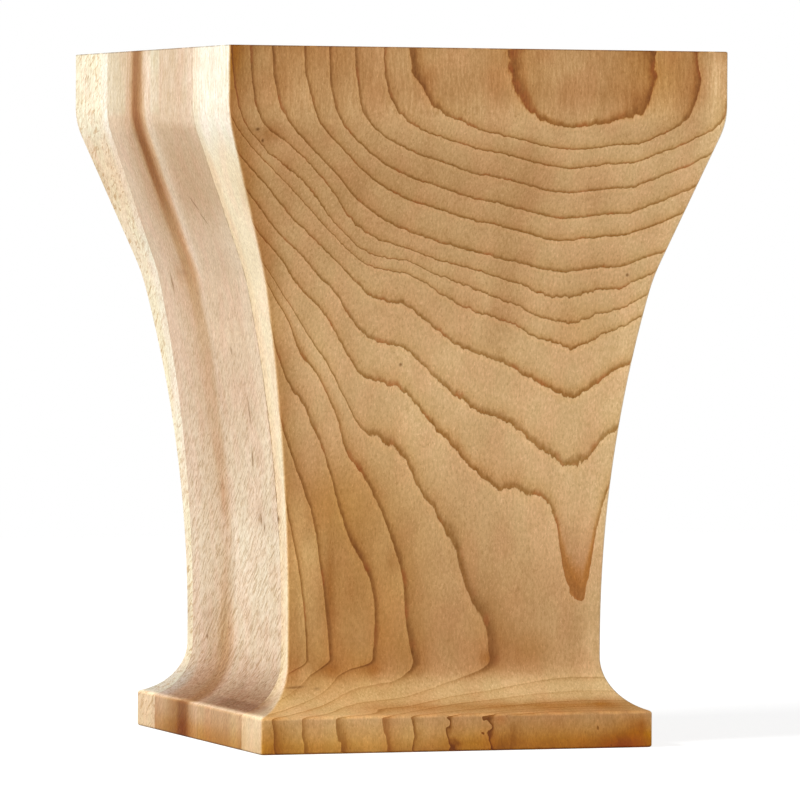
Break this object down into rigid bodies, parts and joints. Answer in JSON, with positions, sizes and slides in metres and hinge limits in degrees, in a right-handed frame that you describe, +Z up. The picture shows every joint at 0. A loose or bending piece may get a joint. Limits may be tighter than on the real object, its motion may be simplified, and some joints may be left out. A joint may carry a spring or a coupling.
{
  "type": "bun foot",
  "caption": "Square tapered solid-wood bun foot: flat top band, straight flare, long hollow, narrow waist, small cove and square plinth, mitred corners, flat top and bottom.",
  "frame": {"origin": "centre of the bottom face, where the foot stands on the floor", "axes": "+Z up from the floor to the top face that carries the furniture; the four sides are alike and face +X, -X, +Y and -Y; the picture looks mostly along +Y, at the -Y side"},
  "size_m": [0.1142, 0.1142, 0.1524],
  "materials": {
    "wood": "bare sanded hardwood, unfinished, matte"
  },
  "bodies": {
    "root": {"foot": "wood"}
  },
  "joints": []
}
